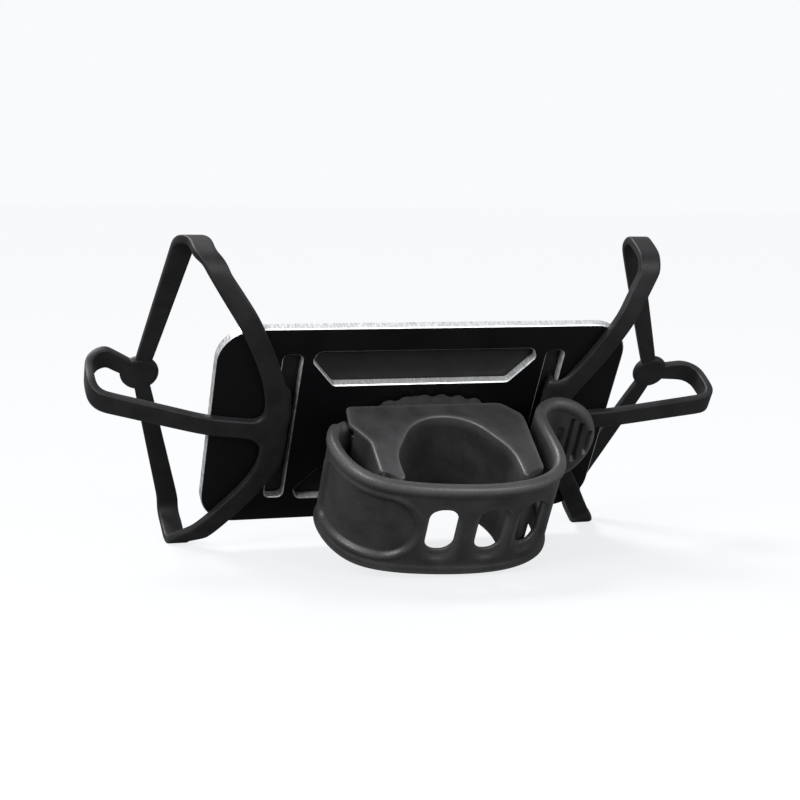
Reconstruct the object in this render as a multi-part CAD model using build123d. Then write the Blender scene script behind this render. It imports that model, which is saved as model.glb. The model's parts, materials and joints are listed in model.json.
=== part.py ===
from build123d import *
import math
import os

# Handlebar mount for a phone: an aluminium tray with two stretched bands, which turns on a
# clamp with a rubber saddle and strap. Millimetres.
# Design frame: the tray's handlebar face is y = 0, x runs along the tray, z runs across it
# and along the handlebar, and the phone is on the +y side. stand() leans the finished pieces
# into the resting pose, where +Z is up and the lowest edge is at 0.

# tray
plate_length = 100.0
plate_height = 57.0
plate_thick = 2.4
plate_corner = 9.0
plate_bevel = 0.25
slot_x = 32.2
slot_width = 4.5
slot_length = 42.4
slot_corner = 1.4
window_outer_z = 21.9
window_inner_z = 12.3
window_tip_z = 19.3
window_tip_x = 27.4
window_inner_x = 21.6
window_corner = 1.5
window_lead = 1.2
pad_thick = 1.8
pad_length = 56.6
pad_height = 53.0
pad_corner = 3.0
pad_hole_radius = 7.7

# phone in its case, as a free space
phone_x0, phone_x1 = -75.5, 80.5
phone_y0, phone_y1 = 4.5, 16.1
phone_z0, phone_z1 = -38.4, 42.6
phone_round = 3.5

# bands
band_thick = 2.0
arm_width = 4.8
edge_width = 5.2
web_half = 15.5
web_tip_half = 3.5
web_shoulder = 4.0
web_reach = 8.5
bead_half = 22.4
bead_width = 7.4
bead_corner = 1.5
bead_gap = 0.1
node_radius = 4.6

# swivel
collar_x = 3.0
collar_half_x = 19.4
collar_half_z = 9.0
collar_y0, collar_y1 = -8.8, -0.9
rib_count = 6
rib_radius = 2.4
rib_rise = 0.65
rib_pitch = 4.2
bush_outer = 6.0
shoulder_radius = 4.0
running_gap = 0.05
pivot_thread = 2.5
pivot_head = 7.0
pivot_head_y0, pivot_head_y1 = 2.95, 4.15
socket_radius = 2.3
socket_depth = 2.2
insert_radius = 4.2
insert_depth = 6.6
thrust_radius = 8.6
thrust_thick = 0.8
loose_gap = 0.1
washer_radius = 6.8
washer_y0, washer_y1 = 2.42, 2.72
wave_radius = 6.6
wave_y0 = 2.74

# saddle
clamp_half = 13.0
seat_radius = 11.1
seat_x, seat_y = 0.7, -24.7
seat_half_angle = 60.0
flare_run = 4.5
flare_radius = 14.0
horn_top_y = -31.3
horn_tips = ((-18.4, -31.9), (-13.0, -34.3), (14.4, -35.0), (19.7, -33.0))
horn_round = 1.3
back_round = 3.2
waist_round = 5.0
saddle_edge = 0.7
core_x0, core_x1 = -13.0, 18.0
core_y1 = -11.8
core_half = 11.9
boss_x = 12.4
boss_radius = 2.6
boss_depth = 8.6
lug_x0, lug_y0 = -19.6, -14.4
lug_z0, lug_z1 = 8.9, 11.9
pocket_x1, pocket_y0 = -13.9, -16.6
case_screw_radius = 1.25
case_screw_depth = 6.4
case_head_radius = 2.9
case_head_y0, case_head_y1 = -3.3, -1.3
cross_length, cross_width, cross_depth = 3.2, 0.7, 0.8

# hook plate
hook_x1 = 20.8
hook_y0, hook_y1 = -21.8, -10.8
hook_half = 7.0
hook_wall_x0 = 14.8
hook_gap = 0.2
hook_screw_y, hook_screw_z = -12.6, 4.0
hook_screw_radius = 1.0
hook_head_radius = 1.8
hook_head_x0, hook_head_x1 = 19.6, 20.7
peg_y0, peg_y1 = -20.3, -17.3
peg_half = 3.6
peg_tip_x = 26.5
peg_round = 0.6

# strap
strap_thick = 2.8
pin_x, pin_y = -17.6, -12.2
pin_radius = 1.25
sleeve_radius = 2.0
eye_radius = 3.1
eye_half = 8.6
eye_clear = 3.4
neck_half = 11.6
neck_clear = 6.0
strap_line = [(-18.6, -12.4), (-22.9, -13.8), (-25.7, -17.8), (-25.8, -23.2), (-24.3, -28.0),
              (-20.8, -32.7), (-14.5, -35.8), (-6.0, -37.5), (4.0, -38.3), (13.0, -37.8),
              (19.3, -35.9), (23.8, -32.4), (25.6, -27.0), (25.6, -21.0)]
bend_start_y = -15.0
bend_radius = 7.0
tab_center_x = 31.0
tab_tip_x = 44.0
split_at = 0.837
split_gap = 0.3
hole_length = 12.0
hole_width = 6.6
hole_corner = 3.0
hole_x = (-3.5, 8.0, 17.9)
side_hole_y = (-27.6, -17.5)
groove_x = (34.3, 36.9, 39.5, 42.0)
groove_half = (7.8, 7.4, 6.0, 3.8)
groove_width = 1.0
groove_depth = 0.9
panel_depth = 0.7
panel_half = 7.8
panel_round_x = -18.6

# resting pose
lean = 30.47


def slab(face, y0, y1):
    """A face drawn in x and z, made solid from y0 to y1."""
    return Pos(0, y1, 0) * extrude(Plane.XZ * face, amount=y1 - y0)


def disc(radius, y0, y1, x=0.0, z=0.0):
    return slab(Pos(x, z) * Circle(radius), y0, y1)


def post(radius, z0, z1, x, y):
    return Pos(x, y, z0) * extrude(Circle(radius), amount=z1 - z0)


def block(x0, x1, y0, y1, z0, z1):
    size = (x1 - x0, y1 - y0, z1 - z0)
    return Pos((x0 + x1) / 2, (y0 + y1) / 2, (z0 + z1) / 2) * Box(*size)


def polygon(points):
    return make_face(Polyline(*points, close=True))


def rise(face, z0, z1):
    """A plan face made solid from z0 to z1, whichever way its normal points."""
    plan = face.faces()[0]
    if plan.normal_at().Z < 0:
        plan = -plan
    return Pos(0, 0, z0) * extrude(plan, amount=z1 - z0)


def window(side):
    """One of the two windows: a long outer edge, slanted ends and a short inner edge."""
    lead_x = window_tip_x - window_lead
    points = [(-lead_x, window_outer_z), (lead_x, window_outer_z),
              (window_tip_x, window_tip_z), (window_inner_x, window_inner_z),
              (-window_inner_x, window_inner_z), (-window_tip_x, window_tip_z)]
    face = polygon([(x, side * z) for x, z in points])
    return fillet(face.vertices(), window_corner)


def mount_plate():
    face = RectangleRounded(plate_length, plate_height, plate_corner)
    face -= Pos(-slot_x, 0) * RectangleRounded(slot_width, slot_length, slot_corner)
    face -= Pos(slot_x, 0) * RectangleRounded(slot_width, slot_length, slot_corner)
    face -= window(1)
    face -= window(-1)
    face -= Circle(bush_outer)
    plate = slab(face, 0, plate_thick)
    rims = plate.edges().group_by(Axis.Y)[0] + plate.edges().group_by(Axis.Y)[-1]
    rims = [e for e in rims if abs(e.center().X) > 1 or abs(e.center().Z) > 1]
    return chamfer(rims, plate_bevel)


def grip_pad():
    """A rubber sheet on the tray's phone side, with a hole for the screw's head."""
    face = RectangleRounded(pad_length, pad_height, pad_corner)
    face -= Circle(pad_hole_radius)
    return slab(face, plate_thick, plate_thick + pad_thick)


def swivel_bush():
    ring = Circle(bush_outer) - Circle(shoulder_radius + running_gap)
    return slab(ring, -thrust_thick, plate_thick)


def thrust_washer():
    ring = Circle(thrust_radius) - Circle(bush_outer + loose_gap)
    return slab(ring, -thrust_thick, 0)


def flat_washer():
    ring = Circle(washer_radius) - Circle(shoulder_radius + loose_gap)
    return slab(ring, washer_y0, washer_y1)


def wave_washer():
    ring = Circle(wave_radius) - Circle(shoulder_radius + loose_gap)
    return slab(ring, wave_y0, pivot_head_y0)


def pivot_screw():
    """Low round head with a hexagon socket, a shoulder that the tray turns on, and a thread."""
    screw = disc(pivot_head, pivot_head_y0, pivot_head_y1)
    screw += disc(shoulder_radius, collar_y1, pivot_head_y0)
    screw += disc(pivot_thread, collar_y1 - insert_depth, collar_y1)
    screw -= slab(RegularPolygon(socket_radius, 6), pivot_head_y1 - socket_depth, pivot_head_y1)
    return screw


def pivot_insert():
    ring = RegularPolygon(insert_radius, 12) - Circle(pivot_thread)
    return slab(ring, collar_y1 - insert_depth, collar_y1)


def base_collar():
    """An oval spacer with finger ribs along its top and bottom."""
    face = Pos(collar_x, 0) * Ellipse(collar_half_x, collar_half_z)
    for k in range(rib_count):
        x = (k - (rib_count - 1) / 2) * rib_pitch
        z = collar_half_z * math.sqrt(1 - (x / collar_half_x) ** 2) + rib_rise - rib_radius
        face += Pos(collar_x + x, z) * Circle(rib_radius)
        face += Pos(collar_x + x, -z) * Circle(rib_radius)
    collar = slab(face, collar_y0, collar_y1)
    collar -= slab(RegularPolygon(insert_radius, 12), collar_y1 - insert_depth, collar_y1)
    for side in (-1, 1):
        collar -= disc(case_screw_radius + loose_gap, collar_y0, collar_y1, side * boss_x)
        collar -= disc(case_head_radius + loose_gap, case_head_y0, collar_y1, side * boss_x)
    return collar


def collar_screws():
    """Two pan-head screws that hold the collar on the saddle's core."""
    screws = []
    for side in (-1, 1):
        x = side * boss_x
        screw = disc(case_head_radius, case_head_y0, case_head_y1, x)
        screw += disc(case_screw_radius, collar_y0 - case_screw_depth, case_head_y0, x)
        cross = Rectangle(cross_length, cross_width) + Rectangle(cross_width, cross_length)
        screw -= slab(Pos(x, 0) * cross, case_head_y1 - cross_depth, case_head_y1)
        screws.append(screw)
    return screws


def seat_opening():
    """The bar's space: a round seat at the bottom, straight flares, then upright walls."""
    a = math.radians(seat_half_angle)
    x0 = seat_radius * math.sin(a)
    y0 = seat_y + seat_radius * math.cos(a)
    x1 = x0 + flare_run * math.cos(a)
    y1 = y0 - flare_run * math.sin(a)
    turn = math.pi / 2 - a
    x2 = x1 + flare_radius * (1 - math.cos(turn))
    y2 = y1 - flare_radius * math.sin(turn)
    half = turn / 2
    xm = x2 - flare_radius * (1 - math.cos(half))
    ym = y2 + flare_radius * math.sin(half)
    low = horn_top_y - 10
    edges = [ThreePointArc((-x0, y0), (0, seat_y + seat_radius), (x0, y0)),
             Line((x0, y0), (x1, y1)), ThreePointArc((x1, y1), (xm, ym), (x2, y2)),
             Line((x2, y2), (x2, low)), Line((x2, low), (-x2, low)), Line((-x2, low), (-x2, y2)),
             ThreePointArc((-x2, y2), (-xm, ym), (-x1, y1)), Line((-x1, y1), (-x0, y0))]
    return Pos(seat_x, 0) * make_face(edges)


def saddle_outline():
    face = polygon([(-20.7, collar_y0), (16.8, collar_y0), (21.0, -13.4), (20.9, -17.0),
                    *reversed(horn_tips), (-18.0, -21.5), (-21.4, -15.0)])
    face = fillet(face.vertices().sort_by_distance((18.9, -11, 0))[:2], back_round)
    face = fillet(face.vertices().sort_by_distance((-18.0, -21.5, 0))[:1], waist_round)
    return face


def saddle_blank():
    solid = rise(saddle_outline(), -clamp_half, clamp_half)
    solid -= rise(seat_opening(), -clamp_half - 1, clamp_half + 1)
    tips = [e for e in solid.edges().filter_by(Axis.Z) if e.center().Y < horn_top_y]
    solid = fillet(tips, horn_round)
    ends = solid.edges().group_by(Axis.Z)[0] + solid.edges().group_by(Axis.Z)[-1]
    ends = [e for e in ends if e.center().Y < collar_y0 - 0.1]
    return fillet(ends, saddle_edge)


def core_blank():
    """The nylon core: a back plate, two screw bosses, a hook block and two pin lugs."""
    core = block(core_x0, core_x1, core_y1, collar_y0, -core_half, core_half)
    for side in (-1, 1):
        core += disc(boss_radius, collar_y0 - boss_depth, collar_y0, side * boss_x)
        z0, z1 = sorted((side * lug_z0, side * lug_z1))
        core += block(lug_x0, core_x0 + 1, lug_y0, collar_y0, z0, z1)
    core += block(hook_wall_x0, core_x1, hook_y0 + 0.3, collar_y0, -hook_half, hook_half)
    return core


def eye_pocket(half):
    return block(-30.0, pocket_x1, pocket_y0, collar_y0 + 1, -half, half)


def hook_screw_holes(radius, x0, x1):
    holes = []
    for side in (-1, 1):
        at = Pos(hook_screw_y, side * hook_screw_z)
        holes.append(Pos(x0, 0, 0) * extrude(Plane.YZ * at * Circle(radius), amount=x1 - x0))
    return holes


def saddle_core():
    core = core_blank() - eye_pocket(lug_z0)
    core -= post(pin_radius, -core_half, core_half, pin_x, pin_y)
    for side in (-1, 1):
        core -= disc(case_screw_radius, collar_y0 - case_screw_depth, collar_y0, side * boss_x)
    for hole in hook_screw_holes(hook_screw_radius, hook_wall_x0, core_x1):
        core -= hole
    return core


def saddle_cover():
    """The rubber moulding round the core, open at the back where the collar closes it."""
    cover = saddle_blank() - core_blank() - eye_pocket(lug_z1)
    half = hook_half + hook_gap
    cover -= block(core_x1, hook_x1 + 2, hook_y0 - hook_gap, hook_y1 + hook_gap, -half, half)
    return cover


def strap_hook():
    """A nylon plate in the saddle's side with the peg that the strap's hole drops over."""
    hook = block(core_x1, hook_x1, hook_y0, hook_y1, -hook_half, hook_half)
    peg = block(hook_x1, peg_tip_x, peg_y0, peg_y1, -peg_half, peg_half)
    hook += fillet(peg.edges().group_by(Axis.X)[-1], peg_round)
    for hole in hook_screw_holes(hook_screw_radius + loose_gap, core_x1, hook_x1):
        hook -= hole
    for hole in hook_screw_holes(hook_head_radius + loose_gap, hook_head_x0, hook_x1):
        hook -= hole
    return hook


def hook_screws():
    shanks = hook_screw_holes(hook_screw_radius, hook_wall_x0, hook_head_x0)
    heads = hook_screw_holes(hook_head_radius, hook_head_x0, hook_head_x1)
    return [shank + head for shank, head in zip(shanks, heads)]


def strap_pin():
    return post(pin_radius, -core_half, core_half, pin_x, pin_y)


def strap_sleeve():
    """The tube in the strap's eye, which turns on the pin."""
    tube = post(sleeve_radius, -eye_half, eye_half, pin_x, pin_y)
    return tube - post(pin_radius + running_gap, -eye_half, eye_half, pin_x, pin_y)


def strap_middle():
    return Spline(*strap_line)


def strap_edge(offset):
    """The strap's line in plan, moved sideways by offset, positive towards the outside."""
    middle = strap_middle()
    points = []
    for k in range(41):
        at = middle @ (k / 40)
        along = middle % (k / 40)
        points.append((at.X + offset * along.Y, at.Y - offset * along.X))
    return Spline(*points)


def strap_plan(inner, outer):
    """Plan of the strap between two offsets, as far as the start of the tab's bend."""
    near, far = strap_edge(inner), strap_edge(outer)
    last = strap_line[-1]
    a, b = (last[0] + inner, bend_start_y), (last[0] + outer, bend_start_y)
    edges = [far, Line(far @ 1, b), Line(b, a), Line(a, near @ 1), near, Line(near @ 0, far @ 0)]
    return make_face(edges)


def tab_plan():
    """Quarter bend away from the saddle, then the straight tab, parallel to the tray."""
    x0 = strap_line[-1][0]
    half = strap_thick / 2
    center = (x0 + bend_radius, bend_start_y)
    ring = Circle(bend_radius + half) - Circle(bend_radius - half)
    quarter = Pos(*center) * (ring & Pos(-10, 10) * Rectangle(20, 20))
    y = bend_start_y + bend_radius
    run = Pos((center[0] + tab_tip_x) / 2, y) * Rectangle(tab_tip_x - center[0], strap_thick)
    return quarter + run


def strap_holes():
    """Rounded holes: three across the front and two along the side."""
    oval = RectangleRounded(hole_width, hole_length, hole_corner)
    middle = strap_middle()
    holes = []
    for x in hole_x:
        spots = [k / 400 for k in range(160, 320)]
        spot = min(spots, key=lambda u: abs((middle @ u).X - x))
        along = middle % spot
        plane = Plane(origin=middle @ spot, x_dir=along, z_dir=(along.Y, -along.X, 0))
        holes.append(extrude(plane * oval, amount=4, both=True))
    for y in side_hole_y:
        plane = Plane(origin=(strap_line[-1][0], y, 0), x_dir=(0, 1, 0), z_dir=(1, 0, 0))
        holes.append(extrude(plane * oval, amount=4, both=True))
    return holes


def strap_panel():
    """The shallow recess in the strap's outer face, from its left side to the front."""
    half = strap_thick / 2
    layer = rise(strap_plan(half - panel_depth, half + 2), -panel_half, panel_half)
    region = block(-40, panel_round_x, -45, -19.5, -panel_half, panel_half)
    region += disc(panel_half, -45, -30, panel_round_x)
    return layer & region


def strap_blank():
    half = strap_thick / 2
    band = rise(strap_plan(-half, half), -clamp_half, clamp_half)
    band += rise(tab_plan(), -clamp_half, clamp_half)
    corner = block(tab_center_x, tab_tip_x + 5, -20, 0, -clamp_half - 1, clamp_half + 1)
    corner -= disc(clamp_half, -20, 0, tab_center_x)
    band -= corner
    for side in (-1, 1):
        z0, z1 = sorted((side * eye_half, side * (clamp_half + 1)))
        band -= post(eye_clear, z0, z1, pin_x, pin_y)
        z0, z1 = sorted((side * neck_half, side * (clamp_half + 1)))
        band -= post(neck_clear, z0, z1, pin_x, pin_y)
    band += post(eye_radius, -eye_half, eye_half, pin_x, pin_y)
    band -= post(sleeve_radius, -eye_half, eye_half, pin_x, pin_y)
    for hole in strap_holes():
        band -= hole
    for x, reach in zip(groove_x, groove_half):
        face_y = bend_start_y + bend_radius - strap_thick / 2
        band -= block(x - groove_width / 2, x + groove_width / 2, face_y - 1,
                      face_y + groove_depth, -reach, reach)
    return band - strap_panel()


def split_frame():
    """Where the strap bends when it opens: the middle of its line, along it and outwards."""
    middle = strap_middle()
    at = middle @ split_at
    along = middle % split_at
    return at, along, Vector(along.Y, -along.X)


def strap_halves():
    """The strap in two pieces, with a thin gap where it bends."""
    at, along, out = split_frame()
    turn = math.degrees(math.atan2(along.Y, along.X))
    gap = Pos(at.X, at.Y) * Rot(0, 0, turn) * Box(split_gap, 8, 40)
    pieces = (strap_blank() - gap).solids()
    return sorted(pieces, key=lambda piece: piece.center().X)


def ribbon(stations):
    """A flat band through stations of (centre, side direction, width, thickness direction)."""
    sections = []
    for center, side, width, normal in stations:
        c, s, n = Vector(*center), Vector(*side).normalized(), Vector(*normal).normalized()
        plane = Plane(origin=c, x_dir=s, z_dir=s.cross(n))
        sections.append(plane * Rectangle(width, band_thick))
    return loft(sections, ruled=True)


def across(start, end):
    """Unit direction at right angles to a run in the x, z plane."""
    dx, dz = end[0] - start[0], end[1] - start[1]
    size = math.hypot(dx, dz)
    return (dz / size, 0.0, -dx / size)


def arm(root, rim, edge, node):
    """One band arm: over the tray, out to the phone's edge, round it and on to the node.

    root, rim and node are (x, z) places. edge is the (x, z) place where the arm meets the
    phone's side, which is on the left, right, top or bottom face of the phone.
    """
    half = band_thick / 2
    r = phone_round
    flat0, flat1 = phone_y0 + r, phone_y1 - r
    on_end = edge[0] in (phone_x0, phone_x1)
    sign = 1 if edge[0] == phone_x1 or edge[1] == phone_z1 else -1
    side = (0, 0, 1) if on_end else (1, 0, 0)

    def spot(angle, y_center):
        """A point of the wrap, at an angle from facing the tray, round the phone's edge."""
        reach = r + half
        y = y_center - reach * math.cos(angle)
        out = sign * (reach * math.sin(angle) - r)
        if on_end:
            return (edge[0] + out, y, edge[1])
        return (edge[0], y, edge[1] + out)

    def normal(angle):
        out = sign * math.sin(angle)
        return (out, -math.cos(angle), 0) if on_end else (0, -math.cos(angle), out)

    back = across(root, rim)
    if back[0] * side[0] + back[2] * side[2] < 0:
        back = tuple(-v for v in back)
    inner = spot(math.pi, flat1)
    front = across((inner[0], inner[2]), node)
    if front[0] * side[0] + front[2] * side[2] < 0:
        front = tuple(-v for v in front)
    quarter = math.pi / 4
    stations = [((root[0], -half, root[1]), back, arm_width, (0, -1, 0)),
                ((rim[0], -half, rim[1]), back, arm_width, (0, -1, 0)),
                (spot(0, flat0), side, edge_width, normal(0)),
                (spot(quarter, flat0), side, edge_width, normal(quarter)),
                (spot(2 * quarter, flat0), side, edge_width, normal(2 * quarter)),
                (spot(2 * quarter, flat1), side, edge_width, normal(2 * quarter)),
                (spot(3 * quarter, flat1), side, edge_width, normal(3 * quarter)),
                (spot(4 * quarter, flat1), side, edge_width, normal(4 * quarter)),
                ((node[0], phone_y1 + half, node[1]), front, arm_width - 1, (0, 1, 0))]
    return ribbon(stations)


def band(side, top, end, bottom, node):
    """A stretched three-armed band: its web goes through the slot to a bead behind the tray."""
    sx = side * slot_x
    piece = arm(*top, node) + arm(*end, node) + arm(*bottom, node)
    shoulder = sx + side * web_shoulder
    tip = sx + side * web_reach
    web = polygon([(sx, web_half), (shoulder, web_half), (tip, web_tip_half),
                   (tip, -web_tip_half), (shoulder, -web_half), (sx, -web_half)])
    piece += slab(web, -band_thick, 0)
    neck = Pos(sx + side * band_thick / 2, 0) * Rectangle(band_thick, 2 * web_half)
    piece += slab(neck, -band_thick / 2, plate_thick + 0.5)
    bead = Pos(sx, 0) * RectangleRounded(bead_width, 2 * bead_half, bead_corner)
    piece += slab(bead, plate_thick, phone_y0 - bead_gap)
    piece += disc(node_radius, phone_y1, phone_y1 + band_thick, node[0], node[1])
    return piece


def band_left():
    return band(-1, top=((-35.5, 13.5), (-42.9, 30.0), (-53.5, phone_z1)),
                end=((-37.0, 0.5), (-50.5, 2.4), (phone_x0, 7.8)),
                bottom=((-34.8, -11.0), (-48.6, -30.0), (-53.8, phone_z0)), node=(-64.0, 4.5))


def band_right():
    return band(1, top=((36.4, 8.6), (47.4, 30.0), (53.3, phone_z1)),
                end=((37.0, 0.5), (50.5, 1.0), (phone_x1, 1.2)),
                bottom=((36.8, -7.8), (50.0, -30.0), (55.2, phone_z0)), node=(69.0, 1.5))


def stand(shapes):
    """From the design frame to the resting pose: leaned over, centred and put on its feet."""
    leaned = {name: Rot(lean, 0, 0) * shape for name, shape in shapes.items()}
    boxes = [shape.bounding_box() for shape in leaned.values()]
    x = (min(b.min.X for b in boxes) + max(b.max.X for b in boxes)) / 2
    y = (min(b.min.Y for b in boxes) + max(b.max.Y for b in boxes)) / 2
    z = min(b.min.Z for b in boxes)
    print(f"resting pose: lean {lean}, moved by {-x:.4f} {-y:.4f} {-z:.4f}")
    return {name: Pos(-x, -y, -z) * shape for name, shape in leaned.items()}


front, end = strap_halves()
nodes = {
    "mount_plate": mount_plate(),
    "grip_pad": grip_pad(),
    "band_left": band_left(),
    "band_right": band_right(),
    "swivel_bush": swivel_bush(),
    "thrust_washer": thrust_washer(),
    "flat_washer": flat_washer(),
    "wave_washer": wave_washer(),
    "pivot_screw": pivot_screw(),
    "pivot_insert": pivot_insert(),
    "base_collar": base_collar(),
    "collar_screws": Compound(children=collar_screws()),
    "saddle_core": saddle_core(),
    "saddle_cover": saddle_cover(),
    "strap_hook": strap_hook(),
    "hook_screws": Compound(children=hook_screws()),
    "strap_pin": strap_pin(),
    "strap_sleeve": strap_sleeve(),
    "strap_front": front,
    "strap_end": end,
}
at, along, out = split_frame()
hinge = at + out * (strap_thick / 2 + 0.1)
print(f"strap bends about {hinge.X:.4f} {hinge.Y:.4f}")
os.makedirs("parts", exist_ok=True)
for name, shape in stand(nodes).items():
    export_step(shape, f"parts/{name}.step")
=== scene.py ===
import json
import math
import bmesh
import bpy
import numpy as np
from mathutils import Matrix, Vector


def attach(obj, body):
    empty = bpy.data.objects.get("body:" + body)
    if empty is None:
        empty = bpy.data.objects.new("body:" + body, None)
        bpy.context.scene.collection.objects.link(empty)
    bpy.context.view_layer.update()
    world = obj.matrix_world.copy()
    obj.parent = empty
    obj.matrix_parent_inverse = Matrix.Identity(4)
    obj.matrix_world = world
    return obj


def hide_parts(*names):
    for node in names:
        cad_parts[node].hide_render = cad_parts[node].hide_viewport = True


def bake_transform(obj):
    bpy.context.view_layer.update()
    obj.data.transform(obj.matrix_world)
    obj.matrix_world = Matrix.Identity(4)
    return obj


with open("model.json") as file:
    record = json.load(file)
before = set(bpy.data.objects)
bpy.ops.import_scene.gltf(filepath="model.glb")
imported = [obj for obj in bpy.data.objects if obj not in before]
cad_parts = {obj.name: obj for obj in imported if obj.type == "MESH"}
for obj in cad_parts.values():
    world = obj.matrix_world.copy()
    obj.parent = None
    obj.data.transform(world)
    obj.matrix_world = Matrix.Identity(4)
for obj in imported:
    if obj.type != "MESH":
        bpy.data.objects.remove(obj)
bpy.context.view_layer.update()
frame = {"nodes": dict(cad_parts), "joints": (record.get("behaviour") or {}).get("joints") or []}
joints = {joint["name"]: joint for joint in frame["joints"]}

# The tray's own axes: x along it, y from the handlebar to the phone, z across it. The tray
# turns about y, and the strap's pin lies along z.
trayOrigin = np.array(joints["tray_swivel"]["pos_m"])
trayAxes = np.array([[1.0, 0.0, 0.0],
                     joints["tray_swivel"]["axis"],
                     [-value for value in joints["strap_swing"]["axis"]]])
quarterTurn = math.pi / 2
pinPlace = (np.array(joints["strap_swing"]["pos_m"]) - trayOrigin) @ trayAxes.T * 1000
print("frame loaded")


# Millimetres along the tray's axes, to metres in the resting pose.
def place(points):
    return trayOrigin + np.asarray(points, float) @ trayAxes * 0.001


# Quads between the neighbours of a grid that is numbered row by row.
def gridFaces(rows, cols, wrapCols=False):
    i, j = np.meshgrid(np.arange(rows - 1), np.arange(cols if wrapCols else cols - 1),
                       indexing="ij")
    k = (j + 1) % cols
    quads = np.stack([i * cols + j, (i + 1) * cols + j, (i + 1) * cols + k, i * cols + k], -1)
    return quads.reshape(-1, 4)


# A grid of points as one patch whose edge mask is zero: no wear and no painted highlight.
def plainPatch(points):
    rows, cols = points.shape[:2]
    return points.reshape(-1, 3), gridFaces(rows, cols), np.zeros(rows * cols)


# Several (points, faces, edge mask) patches as one, each patch's face numbers moved on.
def gather(patches):
    starts = np.cumsum([0] + [len(patch[0]) for patch in patches])
    points = np.concatenate([patch[0] for patch in patches])
    edgeWearHighlights = np.concatenate([patch[2] for patch in patches])
    faces = []
    for start, patch in zip(starts, patches):
        faces += [[int(v) + int(start) for v in face] for face in patch[1]]
    return points, faces, edgeWearHighlights


# One mesh from patches: equal points are merged and the faces turned outwards. The edge
# attribute is 1 on edges that the material lightens for wear and a painted highlight, and 0 away
# from them.
def makePiece(name, patches, material, sharpAngle=None):
    points, faces, edgeWearHighlights = gather(patches)
    mesh = bpy.data.meshes.new(name)
    mesh.from_pydata(place(points).tolist(), [], faces)
    mesh.attributes.new("edgeWearHighlight", "FLOAT", "POINT").data.foreach_set("value", edgeWearHighlights.astype(np.float32))
    shape = bmesh.new()
    shape.from_mesh(mesh)
    bmesh.ops.remove_doubles(shape, verts=shape.verts, dist=4e-6)
    bmesh.ops.dissolve_degenerate(shape, edges=shape.edges, dist=1e-6)
    bmesh.ops.recalc_face_normals(shape, faces=shape.faces)
    shape.to_mesh(mesh)
    shape.free()
    mesh.shade_smooth()
    if sharpAngle:
        mesh.set_sharp_from_angle(angle=math.radians(sharpAngle))
    mesh.materials.append(material)
    piece = bpy.data.objects.new(name, mesh)
    bpy.context.scene.collection.objects.link(piece)
    return piece


# 0 at low, 1 at high, with a level start and end: t t (3 - 2 t).
def smoothStep(value, low, high):
    t = np.clip((value - low) / (high - low), 0, 1)
    return t * t * (3 - 2 * t)


# Distance from a rounded box's outline, negative inside: the length of what is left of (u, v)
# beyond the inner corner, less the corner's radius.
def boxDistance(u, v, halfU, halfV, corner):
    a = np.abs(u) - (halfU - corner)
    b = np.abs(v) - (halfV - corner)
    outside = np.hypot(np.maximum(a, 0), np.maximum(b, 0))
    return outside + np.minimum(np.maximum(a, b), 0) - corner


# The share of the way from the middle to (u, v) at which a ray leaves a rounded box, found by
# halving.
def leaveBox(u, v, halfU, halfV, corner):
    low, high = np.zeros_like(u), np.ones_like(u)
    for _ in range(40):
        half = (low + high) / 2
        inside = boxDistance(u * half, v * half, halfU, halfV, corner) < 0
        low, high = np.where(inside, half, low), np.where(inside, high, half)
    return high


# Rounded edge: the share of the full height at distance d inside a border, which is a quarter
# circle of the given radius.
def edgeRound(d, radius):
    t = np.clip(d / radius, 0, 1)
    return np.sqrt(np.maximum(1 - (1 - t) ** 2, 0))


# Natural cubic spline through points, with the chord's length as its parameter.
def smoothLine(points, count):
    points = np.asarray(points, float)
    knots = np.concatenate([[0], np.cumsum(np.linalg.norm(np.diff(points, axis=0), axis=1))])
    h = np.diff(knots)
    n = len(points)
    system = np.eye(n)
    right = np.zeros_like(points)
    for k in range(1, n - 1):
        system[k, k - 1:k + 2] = h[k - 1], 2 * (h[k - 1] + h[k]), h[k]
        right[k] = 6 * ((points[k + 1] - points[k]) / h[k] - (points[k] - points[k - 1]) / h[k - 1])
    bend = np.linalg.solve(system, right)
    t = np.linspace(0, knots[-1], count)
    k = np.clip(np.searchsorted(knots, t, side="right") - 1, 0, n - 2)
    a = ((knots[k + 1] - t) / h[k])[:, None]
    b = ((t - knots[k]) / h[k])[:, None]
    step = h[k][:, None] ** 2 / 6
    curve = ((a ** 3 - a) * bend[k] + (b ** 3 - b) * bend[k + 1]) * step
    return a * points[k] + b * points[k + 1] + curve


# A line of straight runs whose corners are rounded with arcs of the given radii.
def roundedLine(corners, radii, arcSteps=8):
    corners = np.asarray(corners, float)
    line = [corners[0]]
    for before, corner, after, radius in zip(corners, corners[1:], corners[2:], radii):
        into = (corner - before) / np.linalg.norm(corner - before)
        out = (after - corner) / np.linalg.norm(after - corner)
        turn = math.acos(np.clip(into @ out, -1, 1))
        if radius <= 0 or turn < 1e-3:
            line.append(corner)
            continue
        reach = radius * math.tan(turn / 2)
        start = corner - into * reach
        inward = out - into * (into @ out)
        inward /= np.linalg.norm(inward)
        for step in np.linspace(0, turn, arcSteps):
            line.append(start + into * radius * math.sin(step)
                        + inward * radius * (1 - math.cos(step)))
    line.append(corners[-1])
    return np.array(line)


# Constants for the named sockets of a node.
def setInputs(node, values):
    for socket, value in values.items():
        node.inputs[socket].default_value = value


def startMaterial(name):
    material = bpy.data.materials.new(name)
    material.use_nodes = True
    tree = material.node_tree
    return material, tree.nodes, tree.links, tree.nodes["Principled BSDF"]


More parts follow.
